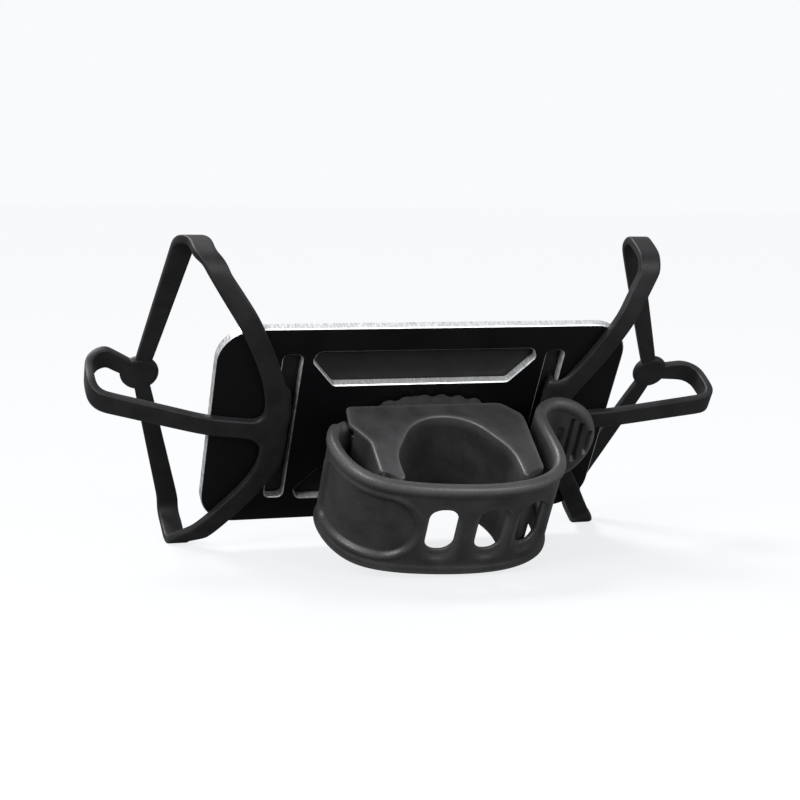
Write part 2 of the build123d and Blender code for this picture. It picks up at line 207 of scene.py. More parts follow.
def noiseNode(nodes, links, source, scale, detail=4.0, stretch=None):
    if stretch:
        mapping = nodes.new("ShaderNodeMapping")
        setInputs(mapping, {"Scale": stretch})
        links.new(source, mapping.inputs["Vector"])
        source = mapping.outputs["Vector"]
    noise = nodes.new("ShaderNodeTexNoise")
    setInputs(noise, {"Scale": scale, "Detail": detail})
    links.new(source, noise.inputs["Vector"])
    return noise.outputs["Fac"]


def rangeNode(nodes, links, source, fromLow, fromHigh, toLow, toHigh):
    node = nodes.new("ShaderNodeMapRange")
    setInputs(node, {"From Min": fromLow, "From Max": fromHigh, "To Min": toLow, "To Max": toHigh})
    links.new(source, node.inputs["Value"])
    return node.outputs["Result"]


def mathNode(nodes, links, operation, first, second):
    node = nodes.new("ShaderNodeMath")
    node.operation = operation
    for socket, value in zip(node.inputs, (first, second)):
        if isinstance(value, (int, float)):
            socket.default_value = value
        else:
            links.new(value, socket)
    return node.outputs[0]


def mixColor(nodes, links, share, first, second):
    node = nodes.new("ShaderNodeMix")
    node.data_type = "RGBA"
    factor, colorA, colorB = node.inputs[0], node.inputs[6], node.inputs[7]
    links.new(share, factor)
    for socket, value in ((colorA, first), (colorB, second)):
        if isinstance(value, tuple):
            socket.default_value = value + (1.0,)
        else:
            links.new(value, socket)
    return node.outputs[2]


def addBump(nodes, links, shader, height, strength, distance):
    bump = nodes.new("ShaderNodeBump")
    setInputs(bump, {"Strength": strength, "Distance": distance})
    links.new(height, bump.inputs["Height"])
    links.new(bump.outputs["Normal"], shader.inputs["Normal"])


# Moulded rubber: a dark and a lighter grey in fine and broad clouds, pale dust in specks,
# rims lightened for wear and a painted highlight, and a fine grain.
def rubberMaterial(name, look):
    material, nodes, links, shader = startMaterial(name)
    spot = nodes.new("ShaderNodeTexCoord").outputs["Object"]
    broad = noiseNode(nodes, links, spot, look["cloud"], 3.0)
    fine = noiseNode(nodes, links, spot, look["grain"], 6.0)
    speck = noiseNode(nodes, links, spot, look["speck"], 2.0)
    color = mixColor(nodes, links, rangeNode(nodes, links, broad, 0.35, 0.65, 0.0, 1.0),
                     look["dark"], look["light"])
    color = mixColor(nodes, links, rangeNode(nodes, links, speck, 0.62, 0.78, 0.0, look["dust"]),
                     color, look["dustColor"])
    # Edge mask: rims are lightened towards a pale grey, partly wear and partly a painted highlight.
    edgeWearHighlight = nodes.new("ShaderNodeAttribute")
    edgeWearHighlight.attribute_name = "edgeWearHighlight"
    rimWearHighlight = mathNode(nodes, links, "MULTIPLY", edgeWearHighlight.outputs["Fac"],
                    rangeNode(nodes, links, fine, 0.3, 0.7, 0.5 * look["wearAndHighlight"], look["wearAndHighlight"]))
    color = mixColor(nodes, links, rimWearHighlight, color, look["rimWearHighlightColor"])
    links.new(color, shader.inputs["Base Color"])
    links.new(rangeNode(nodes, links, fine, 0.3, 0.7, look["smooth"], look["rough"]),
              shader.inputs["Roughness"])
    setInputs(shader, {"Specular IOR Level": look["gloss"], "Sheen Weight": look["sheen"],
                       "Sheen Roughness": 0.5})
    addBump(nodes, links, shader, mathNode(nodes, links, "ADD", fine, speck), look["bump"], 0.00006)
    return material


# The rim colour and its share paint the edges lighter: partly wear, partly a painted highlight.
strapLook = {"dark": (0.019, 0.019, 0.020), "light": (0.034, 0.034, 0.035), "cloud": 160.0,
             "grain": 2600.0, "speck": 1500.0, "dust": 0.28, "dustColor": (0.10, 0.10, 0.095),
             "rimWearHighlightColor": (0.16, 0.16, 0.155), "wearAndHighlight": 0.45, "smooth": 0.34, "rough": 0.50,
             "gloss": 0.5, "sheen": 0.05, "bump": 0.35}
bandLook = {"dark": (0.006, 0.006, 0.007), "light": (0.012, 0.012, 0.0135), "cloud": 220.0,
            "grain": 3200.0, "speck": 1800.0, "dust": 0.12, "dustColor": (0.09, 0.085, 0.08),
            "rimWearHighlightColor": (0.05, 0.05, 0.052), "wearAndHighlight": 0.35, "smooth": 0.42, "rough": 0.60,
            "gloss": 0.35, "sheen": 0.03, "bump": 0.25}
padLook = {"dark": (0.010, 0.010, 0.010), "light": (0.016, 0.016, 0.017), "cloud": 120.0,
           "grain": 2400.0, "speck": 1500.0, "dust": 0.10, "dustColor": (0.06, 0.06, 0.06),
           "rimWearHighlightColor": (0.04, 0.04, 0.04), "wearAndHighlight": 0.2, "smooth": 0.55, "rough": 0.75,
           "gloss": 0.3, "sheen": 0.03, "bump": 0.3}
strapRubber = rubberMaterial("strapRubber", strapLook)
# The saddle's edges get a stronger lightening: wear and a painted highlight.
saddleRubber = rubberMaterial("saddleRubber", dict(strapLook, wearAndHighlight=0.8,
                                                  light=(0.034, 0.034, 0.036)))
bandSilicone = rubberMaterial("bandSilicone", bandLook)
padRubber = rubberMaterial("padRubber", padLook)
nylonBlack = rubberMaterial("nylonBlack", dict(strapLook, dark=(0.016, 0.016, 0.017), dust=0.15,
                                              light=(0.028, 0.028, 0.029), wearAndHighlight=0.0, rough=0.62))

anodisedLook = {"black": (0.0035, 0.0035, 0.0042), "bare": (0.90, 0.91, 0.92),
                "thick": 2.4, "skin": 0.02, "metallic": 0.6, "gloss": 0.22,
                "roughness": (0.30, 0.40), "bareRoughness": (0.28, 0.5)}


# The tray: black on its two faces, bare metal on every wall and bevel between them, which are
# told apart by how far a point is through the tray's thickness.
def anodisedMaterial(look):
    material, nodes, links, shader = startMaterial("anodisedPlate")
    spot = nodes.new("ShaderNodeTexCoord").outputs["Object"]
    through = nodes.new("ShaderNodeVectorMath")
    through.operation = "DOT_PRODUCT"
    through.inputs[1].default_value = tuple(trayAxes[1])
    links.new(spot, through.inputs[0])
    depth = mathNode(nodes, links, "SUBTRACT", through.outputs["Value"],
                     float(trayOrigin @ trayAxes[1]))
    front = mathNode(nodes, links, "GREATER_THAN", depth, look["skin"] * 0.001)
    back = mathNode(nodes, links, "LESS_THAN", depth, (look["thick"] - look["skin"]) * 0.001)
    bare = mathNode(nodes, links, "MULTIPLY", front, back)
    scratch = noiseNode(nodes, links, spot, 5200.0, 3.0, (1.0, 0.12, 0.12))
    cloud = noiseNode(nodes, links, spot, 260.0, 3.0)
    tone = mixColor(nodes, links, rangeNode(nodes, links, scratch, 0.35, 0.65, 0.0, 1.0),
                    tuple(v * 0.62 for v in look["bare"]), look["bare"])
    links.new(mixColor(nodes, links, bare, look["black"], tone), shader.inputs["Base Color"])
    links.new(mathNode(nodes, links, "MULTIPLY", bare, look["metallic"]), shader.inputs["Metallic"])
    satin = rangeNode(nodes, links, cloud, 0.3, 0.7, *look["roughness"])
    raw = rangeNode(nodes, links, scratch, 0.3, 0.7, *look["bareRoughness"])
    mix = nodes.new("ShaderNodeMix")
    links.new(bare, mix.inputs[0])
    links.new(satin, mix.inputs[2])
    links.new(raw, mix.inputs[3])
    links.new(mix.outputs[0], shader.inputs["Roughness"])
    setInputs(shader, {"Specular IOR Level": look["gloss"]})
    addBump(nodes, links, shader, scratch, 0.15, 0.00002)
    return material


metalLook = {"steel": ((0.52, 0.53, 0.55), (0.66, 0.67, 0.68), 0.32),
             "brass": ((0.55, 0.40, 0.16), (0.70, 0.54, 0.25), 0.30)}


# Turned or rolled metal: fine lines round the tray's axis and a slight change of tone.
def metalMaterial(name, look):
    material, nodes, links, shader = startMaterial(name)
    spot = nodes.new("ShaderNodeTexCoord").outputs["Object"]
    lines = noiseNode(nodes, links, spot, 900.0, 5.0, (1.0, 6.0, 6.0))
    links.new(mixColor(nodes, links, rangeNode(nodes, links, lines, 0.35, 0.65, 0.0, 1.0),
                       look[0], look[1]), shader.inputs["Base Color"])
    links.new(rangeNode(nodes, links, lines, 0.3, 0.7, look[2] - 0.08, look[2] + 0.1),
              shader.inputs["Roughness"])
    setInputs(shader, {"Metallic": 1.0})
    addBump(nodes, links, shader, lines, 0.1, 0.00002)
    return material


# Black bearing plastic with a slight mottle.
def acetalMaterial():
    material, nodes, links, shader = startMaterial("acetal")
    spot = nodes.new("ShaderNodeTexCoord").outputs["Object"]
    cloud = noiseNode(nodes, links, spot, 400.0, 4.0)
    links.new(mixColor(nodes, links, cloud, (0.018, 0.018, 0.02), (0.03, 0.03, 0.032)),
              shader.inputs["Base Color"])
    setInputs(shader, {"Roughness": 0.4})
    addBump(nodes, links, shader, cloud, 0.1, 0.00003)
    return material


plateFinish = anodisedMaterial(anodisedLook)
steelFinish = metalMaterial("platedSteel", metalLook["steel"])
brassFinish = metalMaterial("brassInsert", metalLook["brass"])
acetalFinish = acetalMaterial()
nodeFinishes = {"mount_plate": plateFinish, "swivel_bush": acetalFinish,
                "thrust_washer": acetalFinish, "flat_washer": steelFinish,
                "wave_washer": steelFinish, "pivot_screw": steelFinish,
                "pivot_insert": brassFinish, "base_collar": nylonBlack,
                "collar_screws": steelFinish, "saddle_core": nylonBlack,
                "strap_hook": nylonBlack, "hook_screws": steelFinish, "strap_pin": steelFinish,
                "strap_sleeve": acetalFinish}
for nodeName, finish in nodeFinishes.items():
    node = frame["nodes"][nodeName]
    node.data.materials.clear()
    node.data.materials.append(finish)
print("materials made")


strapSize = {
    "line": [(-18.6, -12.4), (-22.9, -13.8), (-25.7, -17.8), (-25.8, -23.2), (-24.3, -28.0),
             (-20.8, -32.7), (-14.5, -35.8), (-6.0, -37.5), (4.0, -38.3), (13.0, -37.8),
             (19.3, -35.9), (23.8, -32.4), (25.6, -27.0), (25.6, -21.0), (25.6, -15.0)],
    "bendRadius": 7.0, "tabCenter": 31.0, "tabTip": 44.0,
    "halfThick": 1.4, "halfWidth": 13.0, "eyeHalf": 8.6, "eyeRadius": 3.1, "sleeve": 2.0,
    "start": 1.3, "neck": 3.0, "shoulder": 7.0, "neckHalf": 11.7,
    "holeX": (-3.5, 8.0, 17.9), "holeY": (-27.6, -17.5),
    "holeHalf": (3.3, 6.0), "holeCorner": 3.0, "holeEdge": 1.0, "cellHalf": 5.0,
    "dish": (4.9, 7.6, 4.6, 1.0), "dishDepth": 0.9, "rimWidth": 2.0, "faceDepth": 0.5,
    "panelHalf": 8.2, "panelCorner": 2.6, "panelDepth": 0.8, "lipHeight": 0.45,
    "grooves": ((36.9, 7.4), (39.5, 6.0), (42.0, 3.8)), "grooveHalf": 0.55, "grooveDepth": 1.1,
    "drop": (34.0, 3.4, -3.6, 1.25), "dropDepth": 0.7,
    "bendPlace": (22.4, -33.9, 0.0), "bendAlong": (0.85, 0.53, 0.0), "bendReach": 7.0}


# The strap's centre line: a spline round the bar, a quarter bend outwards and the straight
# tab. Returns its length so far, place and direction at many points.
def strapCourse(size):
    line = smoothLine(size["line"], 1200)
    x0, y0 = line[-1]
    radius = size["bendRadius"]
    turn = np.linspace(0, quarterTurn, 120)[1:]
    bend = np.stack([x0 + radius * (1 - np.cos(turn)), y0 + radius * np.sin(turn)], 1)
    run = np.linspace(bend[-1, 0], size["tabTip"] + 1, 120)[1:]
    tab = np.stack([run, np.full_like(run, bend[-1, 1])], 1)
    course = np.concatenate([line, bend, tab])
    length = np.concatenate([[0], np.cumsum(np.linalg.norm(np.diff(course, axis=0), axis=1))])
    along = np.gradient(course, length, axis=0)
    return length, course, along / np.linalg.norm(along, axis=1)[:, None]


length, course, along = strapCourse(strapSize)
lineCount = 1200
tabShift = length[-1] - (strapSize["tabTip"] + 1)      # length = x + tabShift on the tab


# The place at length s along the strap, z across it and n out from its centre line.
def strapAt(s, z, n):
    x = np.interp(s, length, course[:, 0])
    y = np.interp(s, length, course[:, 1])
    ax = np.interp(s, length, along[:, 0])
    ay = np.interp(s, length, along[:, 1])
    size = np.hypot(ax, ay)
    return np.stack([x + n * ay / size, y - n * ax / size, z], -1)


# Half of the strap's width: narrow at the eye, stepping out over the neck to its full width,
# then the round end of the tab.
def strapHalfWidth(s, size):
    half = size["eyeHalf"] + (size["neckHalf"] - size["eyeHalf"]) * smoothStep(s, 1.4, size["neck"])
    half = half + (size["halfWidth"] - size["neckHalf"]) * smoothStep(s, 4.6, size["shoulder"])
    reach = np.clip(s - tabShift - size["tabCenter"], 0, size["halfWidth"])
    return np.minimum(half, np.sqrt(size["halfWidth"] ** 2 - reach ** 2))


# Distance to the strap's outer border: its edges, the square start and the tab's round end.
def borderDistance(s, z, size):
    x = s - tabShift
    edge = strapHalfWidth(s, size) - np.abs(z)
    tip = size["halfWidth"] - np.hypot(x - size["tabCenter"], z)
    edge = np.where(x > size["tabCenter"], tip, edge)
    return np.maximum(np.minimum(edge, s - size["start"]), 0)


holeSpots = [float(length[np.argmin(np.abs(course[400:1100, 0] - x)) + 400])
             for x in strapSize["holeX"]]
sideStart = int(np.argmax(course[:, 0] > 25.0))
holeSpots += [float(length[sideStart + np.argmin(np.abs(course[sideStart:lineCount, 1] - y))])
              for y in strapSize["holeY"]]
panelStart = float(length[np.argmin(np.hypot(course[:, 0] + 25.9, course[:, 1] + 20.5))])
panelEnd = holeSpots[0] - 5.4


# Distance outside the nearest hole's outline.
def holeDistance(s, z, size):
    d = np.full(np.shape(s), 99.0)
    for spot in holeSpots:
        d = np.minimum(d, boxDistance(s - spot, z, *size["holeHalf"], size["holeCorner"]))
    return d


# How far the outer face lies below the rim: the plain face, the dish round each hole, the
# panel with its raised lip, and the tab's grooves and drop.
def strapRelief(s, z, border, size):
    x = s - tabShift
    relief = size["faceDepth"] * smoothStep(border, size["rimWidth"], size["rimWidth"] + 1.3)
    dishHalf, dishLong, dishCorner, dishDrop = size["dish"]
    for spot in holeSpots:
        dish = boxDistance(s - spot, z + dishDrop, dishHalf, dishLong, dishCorner)
        relief = relief + size["dishDepth"] * smoothStep(-dish, 0, 1.3)
    middle = (panelStart + panelEnd) / 2
    square = boxDistance(s - middle, z, (panelEnd - panelStart) / 2, size["panelHalf"],
                         size["panelCorner"])
    roundEnd = np.hypot(np.maximum(s - (panelEnd - size["panelHalf"]), 0), z) - size["panelHalf"]
    panel = np.maximum(square, roundEnd)
    relief = relief + size["panelDepth"] * smoothStep(-panel, -0.1, 0.6)
    relief = relief - size["lipHeight"] * np.exp(-((panel - 0.75) / 0.6) ** 2)
    onTab = smoothStep(x, size["tabCenter"] + 1, size["tabCenter"] + 2)
    for center, reach in size["grooves"]:
        cut = smoothStep(size["grooveHalf"] + 0.14 - np.abs(x - center), 0, 0.28)
        cut = cut * smoothStep(reach - np.abs(z), 0, 1.0)
        relief = relief + onTab * size["grooveDepth"] * cut
    dropX, dropTop, dropLow, dropRadius = size["drop"]
    t = np.clip((z - dropLow) / (dropTop - dropLow), 0, 1)
    drop = np.hypot(x - dropX, z - (dropLow + t * (dropTop - dropLow))) - dropRadius * t
    return relief + onTab * size["dropDepth"] * smoothStep(-drop, -0.15, 0.45)


# Outer (side 1) or inner (side -1) face at (s, z): the half thickness, rounded off towards
# every border and hole.
def strapFace(s, z, side, size):
    border = borderDistance(s, z, size)
    hole = holeDistance(s, z, size)
    height = size["halfThick"] * edgeRound(border, size["halfThick"])
    height = height * edgeRound(hole, size["holeEdge"])
    if side > 0:
        share = edgeRound(border, size["halfThick"]) * edgeRound(hole, size["holeEdge"])
        height = height - strapRelief(s, z, border, size) * share
    # Edge mask at the borders and hole rims, lightened in the material for wear and a painted
    # highlight.
    edgeWearHighlight = np.exp(-((border - 0.9) / 0.8) ** 2) + 0.8 * np.exp(-(np.maximum(hole, 0) / 0.9) ** 2)
    return strapAt(s, z, side * height), np.clip(edgeWearHighlight, 0, 1)


# Places along the strap: close together at the ends, at the shoulder, on the bend and at the
# grooves, and with a line at each side of every hole's cell.
def strapStations(size):
    arc = 1 - np.cos(np.linspace(0, quarterTurn, 7))
    total = size["tabTip"] + tabShift
    groups = [size["start"] + size["halfThick"] * arc,
              np.arange(size["start"] + size["halfThick"], size["shoulder"], 0.3),
              np.arange(size["shoulder"] + 0.3, holeSpots[0] - size["cellHalf"], 0.32)]
    for spot, after in zip(holeSpots, holeSpots[1:] + [None]):
        groups.append(np.linspace(spot - size["cellHalf"], spot + size["cellHalf"], 15))
        if after and after - spot > 2 * size["cellHalf"] + 0.8:
            low, high = spot + size["cellHalf"], after - size["cellHalf"]
            groups.append(np.linspace(low, high, int((high - low) / 0.7) + 2))
    groups.append(np.arange(holeSpots[-1] + size["cellHalf"] + 0.5, total - 1.5, 0.35))
    for center, _ in size["grooves"]:
        groups.append(center + tabShift + np.array([-0.7, -0.56, -0.42, 0.42, 0.56, 0.7]))
    groups.append(total - size["halfThick"] * arc)
    stations = np.unique(np.round(np.concatenate(groups), 4))
    keep = np.concatenate([[True], np.diff(stations) > 0.06])
    for spot in holeSpots:
        for edge in (-size["cellHalf"], size["cellHalf"]):
            keep[np.argmin(np.abs(stations - spot - edge))] = True
    return stations[keep]


# The strap: a grid over its length and width for each face, z being a share of the half width
# there, with the cells of the holes left out and filled by rings.
def buildStrap(size):
    stations = strapStations(size)
    arc = 1 - np.cos(np.linspace(0, quarterTurn, 9))
    edge = 1 - size["halfThick"] * arc / size["halfWidth"]
    middle = np.linspace(-edge[-1], edge[-1], 77)
    across = np.concatenate([-edge, middle[1:-1], edge[::-1]])
    s, v = np.meshgrid(stations, across, indexing="ij")
    z = v * strapHalfWidth(s, size)
    rows, cols = s.shape
    cellCol = int(np.argmin(np.abs(across + 9.9 / size["halfWidth"])))
    patches, holesLoops = [], []
    faces = gridFaces(rows, cols)
    keep = np.ones(len(faces), bool)
    faceRow, faceCol = np.divmod(np.arange(len(faces)), cols - 1)
    for spot in holeSpots:
        first = int(np.argmin(np.abs(stations - (spot - size["cellHalf"]))))
        last = int(np.argmin(np.abs(stations - (spot + size["cellHalf"]))))
        inside = (faceRow >= first) & (faceRow < last)
        inside &= (faceCol >= cellCol) & (faceCol < cols - 1 - cellCol)
        keep &= ~inside
        top, low = cols - 1 - cellCol, cellCol
        loop = [(i, low) for i in range(first, last)] + [(last, j) for j in range(low, top)]
        loop += [(i, top) for i in range(last, first, -1)]
        loop += [(first, j) for j in range(top, low, -1)]
        loop = np.array(loop)
        holesLoops.append((spot, s[loop[:, 0], loop[:, 1]], z[loop[:, 0], loop[:, 1]]))
    for side in (1, -1):
        points, edgeWearHighlight = strapFace(s, z, side, size)
        patches.append((points.reshape(-1, 3), faces[keep], edgeWearHighlight.ravel()))
        for spot, loopS, loopZ in holesLoops:
            patches.append(holePatch(spot, loopS, loopZ, side, size))
    patches.append(strapEye(size))
    return patches


# The strap round one hole: rings from the cell's border in to the hole's outline, along rays
# from its centre, closer together where the edge is rounded.
def holePatch(spot, loopS, loopZ, side, size):
    u, v = loopS - spot, loopZ
    edgeShare = leaveBox(u, v, *size["holeHalf"], size["holeCorner"])
    reach = np.hypot(u, v) * (1 - edgeShare)
    steps = size["holeEdge"] * (1 - np.cos(np.linspace(quarterTurn, 0, 8)))
    rings = [np.ones_like(u)]
    for share in (0.2, 0.4, 0.6, 0.8):
        rings.append(1 - (1 - edgeShare) * share * (1 - size["holeEdge"] / reach))
    rings += [edgeShare + (1 - edgeShare) * step / reach for step in steps]
    scale = np.array(rings)
    s, z = spot + u * scale, v * scale
    points, edgeWearHighlight = strapFace(s, z, side, size)
    faces = gridFaces(len(rings), len(u), wrapCols=True)
    return points.reshape(-1, 3), faces, edgeWearHighlight.ravel()


# The eye: a tube round the pin's sleeve with rounded ends, its section carried round in a ring.
def strapEye(size):
    r0, r1, half, edge = size["sleeve"] + 0.02, size["eyeRadius"], size["eyeHalf"], 0.4
    turn = np.linspace(0, quarterTurn, 5)
    section = [(r1 - edge + edge * math.sin(a), half - edge + edge * math.cos(a)) for a in turn]
    section += [(r1 - edge + edge * math.cos(a), -half + edge - edge * math.sin(a)) for a in turn]
    section += [(r0, -half), (r0, half)]
    section = np.array(section)
    angle = np.linspace(0, 2 * math.pi, 49)
    radius, a = np.meshgrid(section[:, 0], angle, indexing="ij")
    z, _ = np.meshgrid(section[:, 1], angle, indexing="ij")
    points = np.stack([pinPlace[0] + radius * np.cos(a), pinPlace[1] + radius * np.sin(a), z], -1)
    closed = np.concatenate([points, points[:1]])
    return plainPatch(closed)


strap = makePiece("strapRubberLoop", buildStrap(strapSize), strapRubber)
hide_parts("strap_front", "strap_end")
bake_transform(strap)
print("strap made")


saddleSize = {
    "half": 13.0, "edge": 0.5, "center": (0.7, -24.7), "seatRadius": 11.1, "seatAngle": 60.0,
    "flareRun": 4.5, "flareRadius": 14.0, "tipRound": 0.7,
    "tips": {-1: ((-18.4, -31.9), (-13.0, -34.3)), 1: ((19.7, -33.0), (14.4, -35.0))},
    "outline": [(-18.4, -34.5), (-18.0, -21.5), (-21.4, -15.0), (-20.7, -8.8), (16.8, -8.8),
                (21.0, -13.4), (20.9, -17.0), (19.7, -35.5)],
    "outlineRound": (5.0, 1.2, 1.0, 3.2, 3.2, 3.0),
    "pocket": (-13.9, -16.6, 11.9), "hookPocket": (18.0, -22.0, -10.6, 7.2),
    "backRecess": 0.25, "backHalf": 11.9}


# Half of the bar's opening, from its top to the horn's tip: seat arc, flare, curve, wall.
def boreLine(size, side):
    a = math.radians(size["seatAngle"])
    turn = np.linspace(0, a, 60)
    seat = np.stack([size["seatRadius"] * np.sin(turn), size["seatRadius"] * np.cos(turn)], 1)
    corner = seat[-1] + size["flareRun"] * np.array([math.cos(a), -math.sin(a)])
    sweep = np.linspace(0, quarterTurn - a, 30)
    out = size["flareRadius"]
    first = quarterTurn - a
    curve = np.stack([corner[0] + out * (np.cos(first - sweep) - math.cos(first)),
                      corner[1] - out * (math.sin(first) - np.sin(first - sweep))], 1)
    wall = curve[-1] + np.array([[0, -1.0], [0, -12.0]])
    line = np.concatenate([seat, curve, wall])
    return line * np.array([side, 1]) + np.array(size["center"])


# Where rays from the seat's centre meet a line of points: the radius at each angle.
def meetRays(line, center, angles):
    rel = line - center
    lineAngles = np.degrees(np.arctan2(rel[:, 0], rel[:, 1]))
    radii = np.hypot(rel[:, 0], rel[:, 1])
    order = np.argsort(lineAngles)
    return np.interp(angles, lineAngles[order], radii[order])


# The same line with a point every step along it.
def densify(line, step=0.1):
    lengths = np.concatenate([[0], np.cumsum(np.linalg.norm(np.diff(line, axis=0), axis=1))])
    t = np.unique(np.concatenate([np.arange(0, lengths[-1], step), lengths]))
    return np.stack([np.interp(t, lengths, line[:, 0]), np.interp(t, lengths, line[:, 1])], 1)


# The saddle is a closed section carried along its U: at each station the section reaches from
# the bore out to the outline, with rounded corners. Behind the horns the stations are rays
# from the seat's centre, and down the horns they are level lines.
def buildSaddle(size):
    center = np.array(size["center"])
    outline = densify(roundedLine(size["outline"], size["outlineRound"]))
    bore = {side: boreLine(size, side) for side in (-1, 1)}
    rel = np.array(size["outline"][2:6] + [(-19.6, -8.8), (-13.9, -8.8), (18.0, -10.6),
                                          (18.0, -22.0), (21.0, -10.7), (20.5, -22.0)]) - center
    special = np.degrees(np.arctan2(rel[:, 0], rel[:, 1]))
    angles = np.unique(np.concatenate([np.linspace(-90, 90, 181), special, special + 0.05]))
    boreRadius = np.where(angles < 0, meetRays(densify(bore[-1]), center, angles),
                          meetRays(densify(bore[1]), center, angles))
    outRadius = meetRays(outline, center, angles)
    ray = np.stack([np.sin(np.radians(angles)), np.cos(np.radians(angles))], 1)
    share = np.linspace(0, 1, 18)
    horns, insets = {}, {}
    for side in (-1, 1):
        wall = densify(bore[side])[::-1]
        rows = []
        for corner, line in zip(size["tips"][side], (outline[outline[:, 0] * side > 0], wall)):
            line = line[line[:, 1] < -20]
            line = line[np.argsort(line[:, 1])]
            rise = size["tipRound"] * (1 - np.cos(np.linspace(0, quarterTurn, 8)))
            levels = np.concatenate([corner[1] + rise, corner[1] + rise[-1]
                                     + (center[1] - corner[1] - rise[-1]) * share[1:-1]])
            rows.append(np.stack([np.interp(levels, line[:, 1], line[:, 0]), levels], 1))
        inset = size["tipRound"] * (1 - np.sin(np.linspace(0, quarterTurn, 8)))
        inset = np.concatenate([inset, np.zeros(len(rows[0]) - len(inset))])
        sideways = np.stack([side * inset, 0 * inset], 1)
        horns[side] = (rows[1] + sideways, rows[0] - sideways)
        insets[side] = inset
    inner = np.concatenate([horns[-1][0], center + ray * boreRadius[:, None], horns[1][0][::-1]])
    outer = np.concatenate([horns[-1][1], center + ray * outRadius[:, None], horns[1][1][::-1]])
    shrink = np.concatenate([insets[-1], np.zeros(len(angles)), insets[1][::-1]])
    width = np.linalg.norm(outer - inner, axis=1)
    direction = (outer - inner) / width[:, None]

    # section round the loop: share of the width, offset along it, height
    edge = size["edge"]
    half = size["half"]
    arc = np.linspace(0, quarterTurn, 6)
    zWall = [11.95, 11.85, 8.95, 8.85, 7.25, 7.15, 4.0, 0.0, -4.0, -7.15, -7.25, -8.85, -8.95,
             -11.85, -11.95]
    section = [(0, edge * (1 - math.cos(a)), half - edge * (1 - math.sin(a))) for a in arc]
    section += [(t, edge * (1 - 2 * t), half) for t in np.linspace(0, 1, 8)[1:-1]]
    section += [(1, -edge * (1 - math.sin(a)), half - edge * (1 - math.cos(a))) for a in arc]
    section += [(1, 0, z) for z in zWall]
    section += [(1, -edge * (1 - math.cos(a)), -half + edge * (1 - math.sin(a))) for a in arc]
    section += [(t, edge * (1 - 2 * t), -half) for t in np.linspace(1, 0, 8)[1:-1]]
    section += [(0, edge * (1 - math.sin(a)), -half + edge * (1 - math.cos(a))) for a in arc]
    section += [(0, 0, z) for z in np.linspace(-half + 3, half - 3, 7)]
    section = np.array(section)
    share, offset, z = section.T
    w = width[:, None] * share + offset
    level = np.abs(z)[None, :] + 0 * w
    onWall = (share == 1)[None, :] & (offset == 0)[None, :]

    # pocket for the strap's eye, recess for the hook plate, and the back that the core closes
    pocketX, pocketY, pocketHalf = size["pocket"]
    with np.errstate(divide="ignore", invalid="ignore"):
        toX = np.where(direction[:, 0] < -1e-3, (pocketX - inner[:, 0]) / direction[:, 0], 99)
        toY = np.where(inner[:, 1] > pocketY, 0, np.where(direction[:, 1] > 1e-3,
                       (pocketY - inner[:, 1]) / direction[:, 1], 99))
        hookX, hookLow, hookHigh, hookHalf = size["hookPocket"]
        toHook = np.where(direction[:, 0] > 1e-3,
                          (hookX - 0.05 - inner[:, 0]) / direction[:, 0], 99)
    entry = np.where(outer[:, 0] < 0, np.maximum(np.maximum(toX, toY), 0.5), 99)
    w = np.where(onWall & (level < pocketHalf), np.minimum(w, entry[:, None]), w)
    hooked = (outer[:, 0] > hookX) & (outer[:, 1] > hookLow) & (outer[:, 1] < hookHigh)
    w = np.where(onWall & (level < hookHalf) & hooked[:, None], np.minimum(w, toHook[:, None]), w)
    back = (outer[:, 1] > -8.85) & (outer[:, 0] > -19.7) & (outer[:, 0] < 18)
    w = np.where(onWall & (level < size["backHalf"]) & back[:, None],
                 np.minimum(w, (width - size["backRecess"])[:, None]), w)
    xy = inner[:, None, :] + direction[:, None, :] * w[:, :, None]
    height = np.sign(z)[None, :] * np.maximum(np.abs(z)[None, :] - 0.6 * shrink[:, None]
                                              * (np.abs(z) > half - 2)[None, :], 0)
    points = np.concatenate([xy, height[:, :, None]], -1)
    # Edge mask at the section's top and bottom corners, lightened in the material for wear and a
    # painted highlight.
    corner = np.exp(-((half - level) / 0.5) ** 2)
    corner = corner * np.exp(-(np.minimum(w, width[:, None] - w) / 0.4) ** 2)
    rows, cols = points.shape[:2]
    faces = gridFaces(rows, cols, wrapCols=True).tolist()
    faces += [list(range(cols)), list(range((rows - 1) * cols, rows * cols))[::-1]]
    return [(points.reshape(-1, 3), faces, corner.ravel())]


saddle = makePiece("saddleRubberMoulding", buildSaddle(saddleSize), saddleRubber,
                   sharpAngle=50)
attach(saddle, "clamp")
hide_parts("saddle_cover")
print("saddle made")


